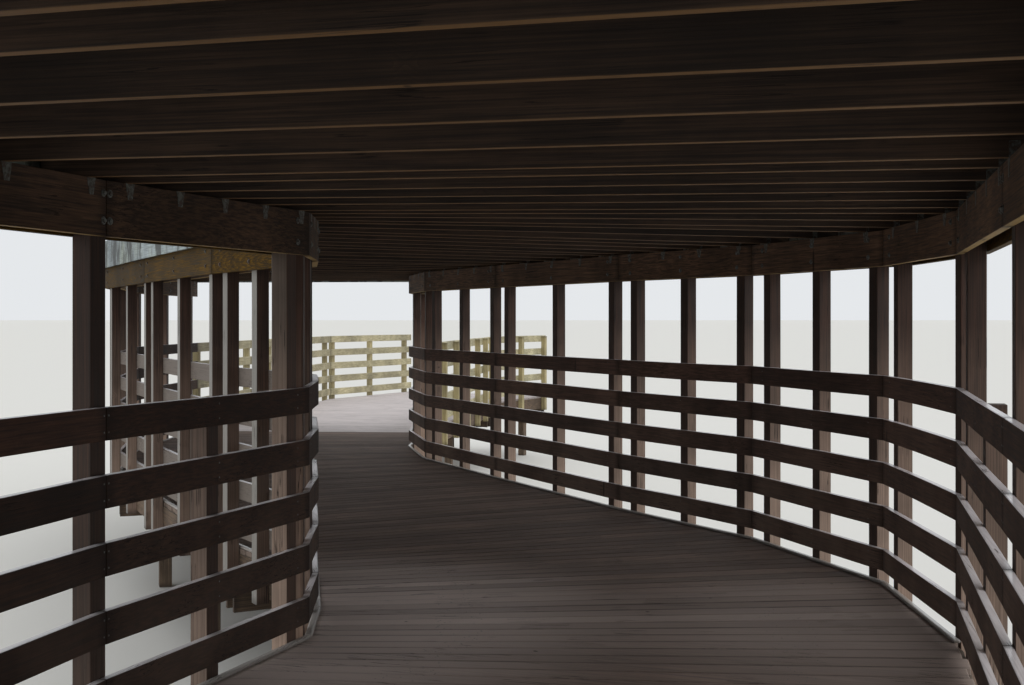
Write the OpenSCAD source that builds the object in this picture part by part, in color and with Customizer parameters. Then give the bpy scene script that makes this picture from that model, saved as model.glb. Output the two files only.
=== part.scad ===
// Covered timber footbridge that winds through an S-bend, with open landing bays at the far end.
// Units are mm. +Y is the way the walker looks at the start, +X is to the right, z = 0 is the ground.
// The walkway is a chain of straight bays. Every board of a bay is cut on the two mitre lines of that bay.
// A few wall corners in the bend stand off the mitre of the centre line, so each wall has headings of its own.

/* [Walkway] */
// clear width between the railings
walk_w = 3550; // [3000:50:4000]
// top of the deck boards above the ground
deck_top = 1350; // [1000:50:2200]
// length of a whole straight bay
full_bay = 2440; // [2100:20:2800]
// thickness of a sawn board
board = 38; // [30:1:50]
// half of the saw gap between boards that meet at a mitre
saw_gap = 2; // [1:0.5:4]

/* [Railing] */
// depth of a rail board
rail_h = 140; // [110:5:180]
// height from one rail to the next
rail_step = 284; // [250:2:300]
// top of the lowest rail above the deck
rail_low = 225; // [190:5:260]
// side of a square post
post_w = 95; // [80:1:120]
// distance from a mitre to the centre of the nearest post
post_in = 180; // [160:5:200]
// the same distance at the tight corner of the bend
post_near = 100; // [95:5:130]

/* [Edge strip] */
// width of the rounded strip along the edges of the covered deck
strip_w = 42; // [30:2:60]
// height of the strip
strip_h = 20; // [14:1:22]
// radius of its rounded top
strip_r = 24; // [24:1:40]
// first bay that has a strip on the right side
strip_start = 4; // [0:1:8]

/* [Roof] */
// underside of the long beams above the deck
beam_under = 2075; // [1950:25:2400]
// depth of the long beams and of the roof joists
beam_h = 235; // [190:5:290]
// how far the roof reaches past the outer beams
eave = 40; // [30:5:120]
// thickness of the roof boards
roof_t = 25; // [19:1:40]
// depth of the pale edge board of the roof
fascia_h = 295; // [285:5:350]

/* [Substructure] */
// side of a square pile
pile_w = 140; // [120:5:200]
// distance of the piles from the centre line
pile_out = 1300; // [1000:50:1400]
// depth of the floor joists and cap beams
floor_h = 235; // [190:5:260]

/* [Hidden] */

// heading of each bay in degrees, clockwise from +Y, and its length along the centre line
bay_heading = [15, 15, 15, 15, 2, -18, -31, -27, -26, -12, 2, 7, 7, 7, 28];
bay_length = [full_bay, full_bay, full_bay, 2200, 980, 1230, 1640, 2590, 2290, 1970, full_bay,
              full_bay, full_bay, full_bay, 2900];
// wall corners that stand off the mitre of the centre line: pairs of a joint and its move ahead or outward
left_ahead = [[2, 0], [3, -40], [4, -405], [5, -220], [6, -30], [7, 0]];
left_out = [[3, 0], [4, -130], [5, 30], [6, -65], [7, 0]];
right_ahead = [[2, 0], [3, 350], [4, 0]];
// post in the middle of a side: 0 is none, 1 is full height, 2 stops at the top rail
mid_left = [2, 2, 2, 2, 0, 0, 1, 1, 1, 1, 1, 2, 2, 2, 2];
mid_right = [2, 2, 2, 2, 0, 1, 1, 1, 1, 0, 1, 2, 2, 2, 2];
bays = len(bay_heading);
// bays from 0 up to this one have a roof
roofed = 11;

// offsets from the centre line of the faces of a wall, from the walkway outward
o_in = walk_w / 2;
o_rail = o_in + board;
o_post = o_rail + post_w;
o_beam = o_post + board;
o_eave = o_beam + eave;
fascia_t = 19;
o_fascia = o_eave + fascia_t;
o_deck = o_rail - 5;
o_strip = o_deck - 6 - strip_w / 2;
o_joist = o_eave - 4;
o_cap = o_rail - 10;

// heights
z_deck = deck_top - board;
z_floor = z_deck - floor_h;
z_cap = z_floor - floor_h;
z_post = z_floor - 30;
z_beam = deck_top + beam_under;
z_joist = z_beam + beam_h;
z_roof = z_joist + beam_h;
z_fascia = z_joist - 15;
z_rail_top = deck_top + rail_low + 4 * rail_step;

function dir(h) = [sin(h), cos(h)];
function side(h) = [cos(h), -sin(h)];
function total(i) = i == 0 ? [0, 0] : total(i - 1) + bay_length[i - 1] * dir(bay_heading[i - 1]);
spots = [for (i = [0:bays]) total(i)];
function before(i) = bay_heading[max(i - 1, 0)];
function after(i) = bay_heading[min(i, bays - 1)];
function mean(i) = (before(i) + after(i)) / 2;

// inner corner of a wall at joint i, s = -1 is left and 1 is right
function ahead(i, s) = lookup(i, s < 0 ? left_ahead : right_ahead);
function outward(i, s) = o_in / cos((after(i) - before(i)) / 2) + (s < 0 ? lookup(i, left_out) : 0);
function wall(i, s) = spots[i] + ahead(i, s) * dir(mean(i)) + s * outward(i, s) * side(mean(i));
function across(i) = wall(i, 1) - wall(i, -1);

// heading of one wall beside bay i
function wall_heading(i, s) = let (v = wall(i + 1, s) - wall(i, s)) atan2(v[0], v[1]);

// a point at joint i: between the wall corners, or further out on the mitre line of the wall itself
function raw(i, o) =
    abs(o) < o_in ? wall(i, -1) + across(i) * (o + o_in) / walk_w
    : let (s = sign(o), h1 = wall_heading(max(i - 1, 0), s), h2 = wall_heading(min(i, bays - 1), s))
      wall(i, s) + side((h1 + h2) / 2) * (o - s * o_in) / cos((h2 - h1) / 2);

// the outermost corners decide where the middle of the plan is
corners = concat(
    [for (i = [0:roofed], s = [-1, 1]) raw(i, s * o_fascia)],
    [for (s = [-1, 1]) raw(0, s * o_fascia) - (saw_gap + fascia_t) * dir(before(0))],
    [for (s = [-1, 1]) raw(roofed, s * o_fascia) + (saw_gap + fascia_t) * dir(mean(roofed))],
    [for (i = [roofed:bays], s = [-1, 1]) raw(i, s * o_rail) - (i == bays ? saw_gap : 0) * dir(before(i))]);
xs = [for (p = corners) p[0]];
ys = [for (p = corners) p[1]];
middle = [(min(xs) + max(xs)) / 2, (min(ys) + max(ys)) / 2];

// the same point in the frame of the part
function at(i, o) = raw(i, o) - middle;
function side_len(i, o) = norm(at(i + 1, o) - at(i, o));

// board along bay i between two offsets and two heights, cut on both mitre lines
module along(i, o1, o2, z1, z2) {
    g = saw_gap * dir(o1 * o2 > 0 ? wall_heading(i, sign(o1)) : bay_heading[i]);
    translate([0, 0, z1])
        linear_extrude(z2 - z1)
            polygon([at(i, o1) + g, at(i + 1, o1) - g, at(i + 1, o2) - g, at(i, o2) + g]);
}

// board along both ends of a list of bays on one side, s = -1 is left and 1 is right
module run(first, last, s, o1, o2, z1, z2) {
    for (i = [first:last]) along(i, s * o1, s * o2, z1, z2);
}

// square post of bay i whose centre is d from the mitre at the bay's start
module post(i, s, d, z1, z2) {
    h = wall_heading(i, s);
    p = at(i, s * (o_rail + post_w / 2)) + d * dir(h);
    translate([p[0], p[1], z1])
        rotate(-h)
            translate([-post_w / 2, -post_w / 2, 0])
                cube([post_w, post_w, z2 - z1]);
}

// true where bay i runs on straight from the bay before it
function straight(i) = i > 0 && i < bays && before(i) == after(i);

// distance of the posts before and after joint i from its mitre
function post_before(i, s) = s < 0 && i > 3 && i < 7 ? post_near : post_in;
function post_after(i, s) = i > 3 && i < (s < 0 ? 7 : 5) ? post_near : post_in;

// full-height posts of one wall: one on a straight joint, a pair at a corner, one alone on a very short side
module wall_posts(first, last, s, z2) {
    for (i = [first:last]) {
        len_i = side_len(i, s * (o_rail + post_w / 2));
        if (len_i < 600) post(i, s, len_i / 2, z_post, z2);
        else {
            post(i, s, straight(i) ? 0 : post_after(i, s), z_post, z2);
            if (i == bays - 1 || !straight(i + 1)) post(i, s, len_i - post_before(i + 1, s), z_post, z2);
        }
    }
}

// posts in the middle of the sides that have one of the wanted kind
module mid_posts(first, last, s, kinds, kind, z2) {
    for (i = [first:last])
        if (kinds[i] == kind) post(i, s, side_len(i, s * (o_rail + post_w / 2)) / 2, z_post, z2);
}

// one row of rails, row 1 is the lowest
module rail_row(first, last, s, row) {
    top = deck_top + rail_low + (row - 1) * rail_step;
    run(first, last, s, o_in, o_rail, top - rail_h, top);
}

// roof joist across bay i at the share t of its length
module joist(i, t, z1, z2) {
    a = at(i, -o_joist) * (1 - t) + at(i + 1, -o_joist) * t;
    b = at(i, o_joist) * (1 - t) + at(i + 1, o_joist) * t;
    u = (b - a) / norm(b - a);
    v = [-u[1], u[0]] * board / 2;
    translate([0, 0, z1])
        linear_extrude(z2 - z1)
            polygon([a + v, b + v, b - v, a - v]);
}

// joists of a bay: one 150 from each mitre and the rest between them, at most 620 apart
module joists(first, last) {
    for (i = [first:last]) {
        free = bay_length[i] - 300;
        n = ceil(free / 620);
        for (k = [0:n]) joist(i, (150 + free * k / n) / bay_length[i], z_joist, z_roof);
    }
}

// the pile bent at joint i reaches from wall to wall and is drawn back from the two open ends
function bent_move(i) = i == 0 ? 160 : i == bays ? -160 : 0;
function bent_heading(i) = atan2(-across(i)[1], across(i)[0]);
function cap_reach(i) = min(o_cap, norm(across(i)) / 2 + board);

module at_bent(i) {
    p = at(i, 0) + bent_move(i) * dir(bent_heading(i));
    translate([p[0], p[1], 0]) rotate(-bent_heading(i)) children();
}

module piles() {
    color("#5d4a3b")
        for (i = [0:bays], s = [-1, 1])
            at_bent(i) translate([s * pile_out - pile_w / 2, -pile_w / 2, 0]) cube([pile_w, pile_w, z_floor]);
}

module cap_beams() {
    color("#574334")
        for (i = [0:bays], s = [-1, 1])
            at_bent(i) translate([-cap_reach(i), s > 0 ? pile_w / 2 : -pile_w / 2 - board, z_cap])
                cube([2 * cap_reach(i), board, floor_h]);
}

module floor_joists() {
    color("#5a4637")
        for (i = [0:bays - 1], k = [-3:3]) along(i, k * 500 - board / 2, k * 500 + board / 2, z_floor, z_deck);
}

module rim_joist_left() {
    color("#4c3a2e") run(0, bays - 1, -1, o_in, o_rail, z_floor, z_deck);
}

module rim_joist_right() {
    color("#4c3a2e") run(0, bays - 1, 1, o_in, o_rail, z_floor, z_deck);
}

module deck_covered() {
    color("#3b322e") for (i = [0:roofed - 1]) along(i, -o_deck, o_deck, z_deck, deck_top);
}

module deck_open() {
    color("#a59a93") for (i = [roofed:bays - 1]) along(i, -o_deck, o_deck, z_deck, deck_top);
}

// section of the edge strip: a flat foot and a rounded top
module strip_section() {
    intersection() {
        translate([-strip_w / 2, 0]) square([strip_w, strip_h]);
        translate([0, strip_h - strip_r]) circle(strip_r, $fn = 64);
    }
}

// edge strips of a list of bays, each cut on the mitre lines of its bay
module strips(first, last, s) {
    for (i = [first:last]) {
        p = at(i, s * o_strip);
        reach = side_len(i, s * o_strip) + 2 * strip_w;
        intersection() {
            translate([p[0], p[1], deck_top])
                rotate(-wall_heading(i, s))
                    translate([0, reach - strip_w, 0])
                        rotate([90, 0, 0])
                            linear_extrude(reach) strip_section();
            along(i, s * (o_strip - strip_w), s * (o_strip + strip_w), deck_top - 1, deck_top + 2 * strip_h);
        }
    }
}

module edge_strip_left() {
    color("#6c635c") strips(0, roofed - 1, -1);
}

module edge_strip_right() {
    color("#6c635c") strips(strip_start, roofed - 1, 1);
}

module posts_left() {
    color("#4a372d") {
        wall_posts(0, roofed - 1, -1, z_joist);
        mid_posts(0, roofed - 1, -1, mid_left, 1, z_joist);
    }
}

module posts_right() {
    color("#4a372d") {
        wall_posts(0, roofed - 1, 1, z_joist);
        mid_posts(0, roofed - 1, 1, mid_right, 1, z_joist);
    }
}

module short_posts_left() {
    color("#4a372d") mid_posts(0, roofed - 1, -1, mid_left, 2, z_rail_top - 15);
}

module short_posts_right() {
    color("#4a372d") mid_posts(0, roofed - 1, 1, mid_right, 2, z_rail_top - 15);
}

module fence_posts_left() {
    color("#8d8158") {
        wall_posts(roofed, bays - 1, -1, z_rail_top - 15);
        mid_posts(roofed, bays - 1, -1, mid_left, 2, z_rail_top - 15);
    }
}

module fence_posts_right() {
    color("#8d8158") {
        wall_posts(roofed, bays - 1, 1, z_rail_top - 15);
        mid_posts(roofed, bays - 1, 1, mid_right, 2, z_rail_top - 15);
    }
}

module rail_left_1() { color("#3a2c26") rail_row(0, roofed - 1, -1, 1); }
module rail_left_2() { color("#3a2c26") rail_row(0, roofed - 1, -1, 2); }
module rail_left_3() { color("#3a2c26") rail_row(0, roofed - 1, -1, 3); }
module rail_left_4() { color("#3a2c26") rail_row(0, roofed - 1, -1, 4); }
module rail_left_5() { color("#3a2c26") rail_row(0, roofed - 1, -1, 5); }
module rail_right_1() { color("#3a2c26") rail_row(0, roofed - 1, 1, 1); }
module rail_right_2() { color("#3a2c26") rail_row(0, roofed - 1, 1, 2); }
module rail_right_3() { color("#3a2c26") rail_row(0, roofed - 1, 1, 3); }
module rail_right_4() { color("#3a2c26") rail_row(0, roofed - 1, 1, 4); }
module rail_right_5() { color("#3a2c26") rail_row(0, roofed - 1, 1, 5); }

module fence_rails_left() {
    color("#9b9069") for (row = [1:5]) rail_row(roofed, bays - 1, -1, row);
}

module fence_rails_right() {
    color("#9b9069") for (row = [1:5]) rail_row(roofed, bays - 1, 1, row);
}

module inner_beam_left() { color("#33261f") run(0, roofed - 1, -1, o_in, o_rail, z_beam, z_joist); }
module inner_beam_right() { color("#33261f") run(0, roofed - 1, 1, o_in, o_rail, z_beam, z_joist); }
module outer_beam_left() { color("#776a3c") run(0, roofed - 1, -1, o_post, o_beam, z_beam, z_joist); }
module outer_beam_right() { color("#776a3c") run(0, roofed - 1, 1, o_post, o_beam, z_beam, z_joist); }

module roof_joists_near() { color("#2e231d") joists(0, 3); }
module roof_joists_bend() { color("#2e231d") joists(4, 6); }
module roof_joists_far() { color("#2e231d") joists(7, roofed - 1); }

module roof_boards() {
    color("#2a201b") for (i = [0:roofed - 1]) along(i, -o_eave, o_eave, z_roof, z_roof + roof_t);
}

module fascia_left() { color("#b9c1c4") run(0, roofed - 1, -1, o_eave, o_fascia, z_fascia, z_fascia + fascia_h); }
module fascia_right() { color("#b9c1c4") run(0, roofed - 1, 1, o_eave, o_fascia, z_fascia, z_fascia + fascia_h); }

// edge board across an end of the roof
module end_board(i, h, d1, d2) {
    translate([0, 0, z_fascia])
        linear_extrude(fascia_h)
            polygon([at(i, -o_fascia) + d1 * dir(h), at(i, o_fascia) + d1 * dir(h),
                     at(i, o_fascia) + d2 * dir(h), at(i, -o_fascia) + d2 * dir(h)]);
}

module fascia_start() {
    color("#b9c1c4") end_board(0, before(0), -saw_gap - fascia_t, -saw_gap);
}

module fascia_end() {
    color("#b9c1c4") end_board(roofed, mean(roofed), saw_gap, saw_gap + fascia_t);
}

piles();
cap_beams();
floor_joists();
rim_joist_left();
rim_joist_right();
deck_covered();
deck_open();
edge_strip_left();
edge_strip_right();
posts_left();
posts_right();
short_posts_left();
short_posts_right();
fence_posts_left();
fence_posts_right();
rail_left_1();
rail_left_2();
rail_left_3();
rail_left_4();
rail_left_5();
rail_right_1();
rail_right_2();
rail_right_3();
rail_right_4();
rail_right_5();
fence_rails_left();
fence_rails_right();
inner_beam_left();
inner_beam_right();
outer_beam_left();
outer_beam_right();
roof_joists_near();
roof_joists_bend();
roof_joists_far();
roof_boards();
fascia_left();
fascia_right();
fascia_start();
fascia_end();
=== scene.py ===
# %% [markdown]
# # A covered timber footbridge
# The bridge is a chain of straight bays that turns left and then right. Its posts, rails, beams and joists
# are sawn boards, and boards that follow each other round a bend are cut on the line that halves the angle.
# The frame already holds every member as a plain solid. This script dresses each of them: eased edges, grain
# that follows the board, single deck boards, bolts and joist ties.

# %% Load the frame
import math

import bpy
import numpy as np
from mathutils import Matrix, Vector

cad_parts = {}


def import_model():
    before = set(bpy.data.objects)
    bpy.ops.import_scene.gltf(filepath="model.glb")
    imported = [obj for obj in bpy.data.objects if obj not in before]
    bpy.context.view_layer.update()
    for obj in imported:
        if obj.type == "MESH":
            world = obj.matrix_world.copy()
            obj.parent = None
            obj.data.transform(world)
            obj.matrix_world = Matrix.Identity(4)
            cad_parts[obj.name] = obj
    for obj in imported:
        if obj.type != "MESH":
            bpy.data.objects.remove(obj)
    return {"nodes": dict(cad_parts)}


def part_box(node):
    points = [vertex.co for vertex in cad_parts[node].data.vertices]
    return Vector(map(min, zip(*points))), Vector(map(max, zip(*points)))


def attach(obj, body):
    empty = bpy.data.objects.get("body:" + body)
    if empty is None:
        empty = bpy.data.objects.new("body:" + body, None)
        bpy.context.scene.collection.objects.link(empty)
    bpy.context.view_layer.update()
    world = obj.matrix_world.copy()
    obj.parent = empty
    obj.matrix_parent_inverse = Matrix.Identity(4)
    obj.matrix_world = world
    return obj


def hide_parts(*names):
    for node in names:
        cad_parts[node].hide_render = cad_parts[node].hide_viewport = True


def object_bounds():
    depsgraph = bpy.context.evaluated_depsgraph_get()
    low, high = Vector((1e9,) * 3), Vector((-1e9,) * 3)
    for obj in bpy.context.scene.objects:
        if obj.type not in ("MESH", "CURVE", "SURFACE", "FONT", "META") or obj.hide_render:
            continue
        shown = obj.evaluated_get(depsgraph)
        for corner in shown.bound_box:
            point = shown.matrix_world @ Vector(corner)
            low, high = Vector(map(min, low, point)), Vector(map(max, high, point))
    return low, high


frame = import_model()
cad_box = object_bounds()
chance = np.random.default_rng(11)
cad_size = [round(v, 3) for v in cad_box[1] - cad_box[0]]
print("the frame has", len(frame["nodes"]), "nodes and is", cad_size, "m")

# %% [markdown]
# ## The plan
# A carpenter would set out the bridge from two lists: the heading of each bay and its length. Every board
# then lies at a fixed distance from its wall and ends on the mitre lines of that wall. A few wall corners in
# the bend were built off the mitre of the centre line. Working the places out from these lists keeps all
# boards of a wall parallel, which placing them by eye would not.

# %% List the bays
# headings in degrees clockwise from +Y, lengths in metres along the centre line
FULL_BAY = 2.44
BAY_HEADING = [15, 15, 15, 15, 2, -18, -31, -27, -26, -12, 2, 7, 7, 7, 28]
BAY_LENGTH = [FULL_BAY] * 3 + [2.2, 0.98, 1.23, 1.64, 2.59, 2.29, 1.97] + [FULL_BAY] * 4 + [2.9]
# moves of single wall corners, ahead and outward, for the left wall (-1) and the right wall (1)
AHEAD = {-1: {3: -0.04, 4: -0.405, 5: -0.22, 6: -0.03}, 1: {3: 0.35}}
OUTWARD = {-1: {4: -0.13, 5: 0.03, 6: -0.065}, 1: {}}
BAYS = len(BAY_HEADING)
ROOFED = 11
cover_length = sum(BAY_LENGTH[:ROOFED])
whole_length = sum(BAY_LENGTH)
print(f"{BAYS} bays over {whole_length:.2f} m, {ROOFED} of them under the roof, over {cover_length:.2f} m")

# %% Name the offsets
# sawn sections, and how far a board stays off its mitre line
BOARD = 0.038
POST = 0.095
FASCIA = 0.019
SAW_GAP = 0.002
# how far the roof reaches over the beams, and how far deck boards, strips and joists stay back
EAVE = 0.04
DECK_BACK = 0.005
STRIP_BACK = 0.006
STRIP_HALF = 0.021
JOIST_BACK = 0.004
# offsets from the centre line: the faces of a wall from the walkway outward, then deck, strip and joist
O_IN = 3.55 / 2
O_RAIL = O_IN + BOARD
O_POST = O_RAIL + POST
O_BEAM = O_POST + BOARD
O_EAVE = O_BEAM + EAVE
O_FASCIA = O_EAVE + FASCIA
O_DECK = O_RAIL - DECK_BACK
O_STRIP = O_DECK - STRIP_BACK - STRIP_HALF
O_JOIST = O_EAVE - JOIST_BACK
print(f"the roof is {2 * O_FASCIA:.3f} m wide and the deck {2 * O_DECK:.3f} m")


# %% Set out the wall corners
def forward(heading):
    """Unit vector in plan along a heading"""
    return np.array([math.sin(math.radians(heading)), math.cos(math.radians(heading))])


def rightward(heading):
    """Unit vector in plan to the right of a heading"""
    return np.array([math.cos(math.radians(heading)), -math.sin(math.radians(heading))])


def before(joint):
    return BAY_HEADING[max(joint - 1, 0)]


def after(joint):
    return BAY_HEADING[min(joint, BAYS - 1)]


def mean(joint):
    return (before(joint) + after(joint)) / 2


spots = [np.zeros(2)]
for heading, length in zip(BAY_HEADING, BAY_LENGTH):
    spots.append(spots[-1] + length * forward(heading))


def wall(joint, side):
    """Inner corner of one wall at a joint"""
    turn = math.radians(after(joint) - before(joint))
    reach = O_IN / math.cos(turn / 2) + OUTWARD[side].get(joint, 0)
    ahead = AHEAD[side].get(joint, 0) * forward(mean(joint))
    return spots[joint] + ahead + side * reach * rightward(mean(joint))


def wall_heading(bay, side):
    step = wall(bay + 1, side) - wall(bay, side)
    return math.degrees(math.atan2(step[0], step[1]))


def at(joint, offset):
    """Point at a joint: between the wall corners, or further out on the mitre line of the wall itself"""
    if abs(offset) < O_IN:
        return wall(joint, -1) + (wall(joint, 1) - wall(joint, -1)) * (offset + O_IN) / (2 * O_IN)
    side = 1 if offset > 0 else -1
    first = wall_heading(max(joint - 1, 0), side)
    second = wall_heading(min(joint, BAYS - 1), side)
    reach = (offset - side * O_IN) / math.cos(math.radians(second - first) / 2)
    return wall(joint, side) + rightward((first + second) / 2) * reach


# %% Move the plan onto the frame
roof_low, roof_high = (np.array(corner)[:2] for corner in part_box("roof_boards"))
eaves = np.array([at(joint, side * O_EAVE) for joint in range(ROOFED + 1) for side in (-1, 1)])
shift = (roof_low + roof_high) / 2 - (eaves.min(axis=0) + eaves.max(axis=0)) / 2
spots = [spot + shift for spot in spots]
print("roof in plan: frame", roof_high - roof_low, "set out", eaves.max(axis=0) - eaves.min(axis=0))


def levels(node):
    """Lowest and highest level of a node of the frame"""
    low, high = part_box(node)
    return low.z, high.z


# %% [markdown]
# ## The camera
# The walker stands on the deck in the second bay, near the right rails, and looks straight along +Y. The
# horizon lies a little above the middle of the picture, so the lens is shifted down slightly instead of the
# camera being tilted, which keeps the posts upright.

# %% Place the camera
IMAGE_WIDTH = 1024
IMAGE_MIDDLE = 342.5
FOCAL_PIXELS = 1250
HORIZON_BELOW_TOP = 319
EYE_HEIGHT = 1.73
# the walker's place, left of and behind the joint where the walkway begins to turn
FIRST_BEND = 4
EYE_LEFT = 0.6
EYE_BACK = 6.925
deck_level = levels("deck_covered")[1]
eye = spots[FIRST_BEND] - np.array([EYE_LEFT, EYE_BACK])
camera_data = bpy.data.cameras.new("walker_view")
camera_data.sensor_width = 36
camera_data.lens = camera_data.sensor_width * FOCAL_PIXELS / IMAGE_WIDTH
camera_data.shift_y = (HORIZON_BELOW_TOP - IMAGE_MIDDLE) / IMAGE_WIDTH
camera_data.clip_start = 0.05
camera_data.clip_end = 5000
camera = bpy.data.objects.new("walker_view", camera_data)
camera.location = (eye[0], eye[1], deck_level + EYE_HEIGHT)
camera.rotation_euler = (math.radians(90), 0, 0)
bpy.context.scene.collection.objects.link(camera)
bpy.context.scene.camera = camera
print("camera at", [round(v, 3) for v in camera.location], "with a lens of", round(camera_data.lens, 2), "mm")

# %% [markdown]
# ## One sawn timber
# Sawn boards differ mostly in size, so every board is a copy of a block with eased edges, stretched between
# its own eight corners. The easing keeps its real size in each copy, which a plain scaling would not do. There
# are three blocks: one for sawn timbers, with a few cuts across its length so that a board can bow a little,
# a plainer one for the many deck and roof boards, and one with a rounded top for the thin strips.

# %% Model the blocks
def select_none():
    bpy.ops.object.select_all(action="DESELECT")


def block(name, ease, steps, cuts, top_only=False):
    """A cube of one metre with bevelled edges, all or the long ones on top, and cuts across its length, Y"""
    select_none()
    bpy.ops.mesh.primitive_cube_add(size=1)
    made = bpy.context.object
    made.name = name
    if top_only:
        for edge in made.data.edges:
            ends = [made.data.vertices[v].co for v in edge.vertices]
            edge.select = all(co.z > 0 for co in ends) and ends[0].x == ends[1].x
        for face in made.data.polygons:
            face.select = False
        bpy.ops.object.mode_set(mode="EDIT")
        bpy.ops.mesh.select_mode(type="EDGE")
    else:
        bpy.ops.object.mode_set(mode="EDIT")
        bpy.ops.mesh.select_all(action="SELECT")
    bpy.ops.mesh.bevel(offset=ease, segments=steps, affect="EDGES")
    for cut in range(1, cuts + 1):
        bpy.ops.mesh.select_all(action="SELECT")
        bpy.ops.mesh.bisect(plane_co=(0, cut / (cuts + 1) - 0.5, 0), plane_no=(0, 1, 0))
    bpy.ops.object.mode_set(mode="OBJECT")
    made["ease"] = ease
    print(name, "has", len(made.data.polygons), "faces")
    return made


sawn_block = block("sawn_block", ease=0.01, steps=2, cuts=3)
plank_block = block("plank_block", ease=0.01, steps=1, cuts=1)
round_block = block("round_block", ease=0.3, steps=4, cuts=0, top_only=True)

# %% [markdown]
# ## Laying timbers
# A timber is given by its eight corners, as across, along and up. The copy also carries what its finish
# needs: where each point lies in its own board, how far it is from the board's ends, and a tone of its own.
# Wood patterns that read those follow the board round every bend, which a pattern fixed in space could not.

# %% Join copies of a block
def join_copies(pattern, coordinates, name):
    """One mesh from several sets of coordinates for the faces of the same pattern"""
    faces = [tuple(face.vertices) for face in pattern.data.polygons]
    count = len(pattern.data.vertices)
    repeated = [tuple(v + k * count for v in face) for k in range(len(coordinates)) for face in faces]
    mesh = bpy.data.meshes.new(name)
    mesh.from_pydata(np.concatenate(coordinates).tolist(), [], repeated)
    mesh.update()
    piece = bpy.data.objects.new(name, mesh)
    bpy.context.scene.collection.objects.link(piece)
    return piece


def points_of(thing):
    return np.array([v.co for v in thing.data.vertices], float)


def eased_points(pattern, arris):
    """A block's points as they are, as shares of a timber's size, and as steps that ease its edges"""
    unit = points_of(pattern)
    sign = np.sign(unit)
    inset = 0.5 - np.abs(unit)
    share = (sign + 1) / 2
    eased = -sign * inset / pattern["ease"] * arris
    middle = inset[:, 1] > pattern["ease"] + 1e-4
    share[middle, 1] = unit[middle, 1] + 0.5
    eased[middle, 1] = 0
    return unit, share, eased


# %% Lay timbers between their corners
def lay(pattern, timbers, name, arris=0.003, bow=0.0, face=1, tones=None):
    """Timbers of one kind as one piece; arris is the size of the eased edges, bow how much a board may bend

    A face of 1 says that the right-hand side of the boards looks at the walkway, and -1 the left-hand side.
    """
    unit, share, eased = eased_points(pattern, arris)
    coordinates, grain, place, tone = [], [], [], []
    for index, corners in enumerate(timbers):
        axes = np.array([np.diff(corners, axis=k).mean(axis=(0, 1, 2)) for k in range(3)])
        if np.linalg.det(axes) < 0:
            corners = corners[::-1]
            axes[0] = -axes[0]
        size = np.linalg.norm(axes, axis=1)
        axes = axes / size[:, None]
        points = np.zeros_like(unit)
        for corner in np.ndindex(2, 2, 2):
            weight = np.prod(np.abs(1 - np.array(corner) - share), axis=1)
            points += weight[:, None] * corners[corner]
        points += eased @ axes
        bend = bow * np.sin(np.pi * share[:, 1])
        bend_across = bend * chance.uniform(-1, 1)
        bend_up = bend * chance.uniform(-1, 1)
        points += np.outer(bend_across, axes[0]) + np.outer(bend_up, axes[2])
        # the pith of the tree lies under the board, and each board comes from another length of trunk
        local = (points - corners.mean(axis=(0, 1, 2))) @ axes.T
        pith = np.array([chance.uniform(-0.06, 0.06), chance.uniform(0, 90), chance.uniform(0.02, 0.09)])
        to_end = np.minimum(share[:, 1], 1 - share[:, 1]) * size[1]
        own_tone = chance.uniform(0, 1)
        if tones and tones[index] is not None:
            own_tone = tones[index]
        coordinates.append(points)
        grain.append(local + pith)
        place.append(np.column_stack([face * 2 * unit[:, 0], to_end, 2 * unit[:, 2]]))
        tone.append(np.full(len(unit), own_tone))
    piece = join_copies(pattern, coordinates, name)
    for label, kind, key, values in (
        ("grain", "FLOAT_VECTOR", "vector", np.concatenate(grain)),
        ("place", "FLOAT_VECTOR", "vector", np.concatenate(place)),
        ("tone", "FLOAT", "value", np.concatenate(tone)),
    ):
        attribute = piece.data.attributes.new(label, kind, "POINT")
        attribute.data.foreach_set(key, values.astype(np.float32).ravel())
    return piece


# %% Work out the corners of a timber
def corners_of(near_left, far_left, far_right, near_right, low, high):
    """Eight corners from four corners in plan and two levels, with the grain from near to far"""
    plan = [[near_left, far_left], [near_right, far_right]]
    return np.array([[[[*point, z] for z in (low, high)] for point in row] for row in plan])


def bay_board(bay, offset_1, offset_2, low, high):
    """Board along a bay between two offsets, cut on both mitre lines"""
    heading = BAY_HEADING[bay]
    if offset_1 * offset_2 > 0:
        heading = wall_heading(bay, 1 if offset_1 > 0 else -1)
    gap = SAW_GAP * forward(heading)
    near = [at(bay, offset) + gap for offset in (offset_1, offset_2)]
    far = [at(bay + 1, offset) - gap for offset in (offset_1, offset_2)]
    return corners_of(near[0], far[0], far[1], near[1], low, high)


def upright(point, heading, width, low, high, side=-1):
    """Square timber on end, with the grain upward and its own right-hand face towards the walkway"""
    across = -side * rightward(heading) * width / 2
    along = -side * forward(heading) * width / 2
    plan = [[point + a * across - c * along for c in (-1, 1)] for a in (-1, 1)]
    return np.array([[[[*corner, z] for corner in row] for z in (low, high)] for row in plan])


# %% [markdown]
# ## Wood finishes
# All members are softwood: sawn, pressure treated, most of them stained dark brown, some left to weather.
# Every finish starts from the same things in a board: rings round a pith, fibres along the length, knots,
# fine drying cracks and dirt. So one function builds the wood, in the steps in which the real board came by
# its looks, and each finish gives its own colours and amounts.

# %% Helpers for materials
SMOOTH = {"interpolation_type": "SMOOTHSTEP"}
COLOUR = {"data_type": "RGBA"}


def paint(code):
    """Linear colour from an sRGB hex value"""
    parts = [int(code[k : k + 2], 16) / 255 for k in (1, 3, 5)]
    return tuple(v / 12.92 if v <= 0.04045 else ((v + 0.055) / 1.055) ** 2.4 for v in parts) + (1.0,)


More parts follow.
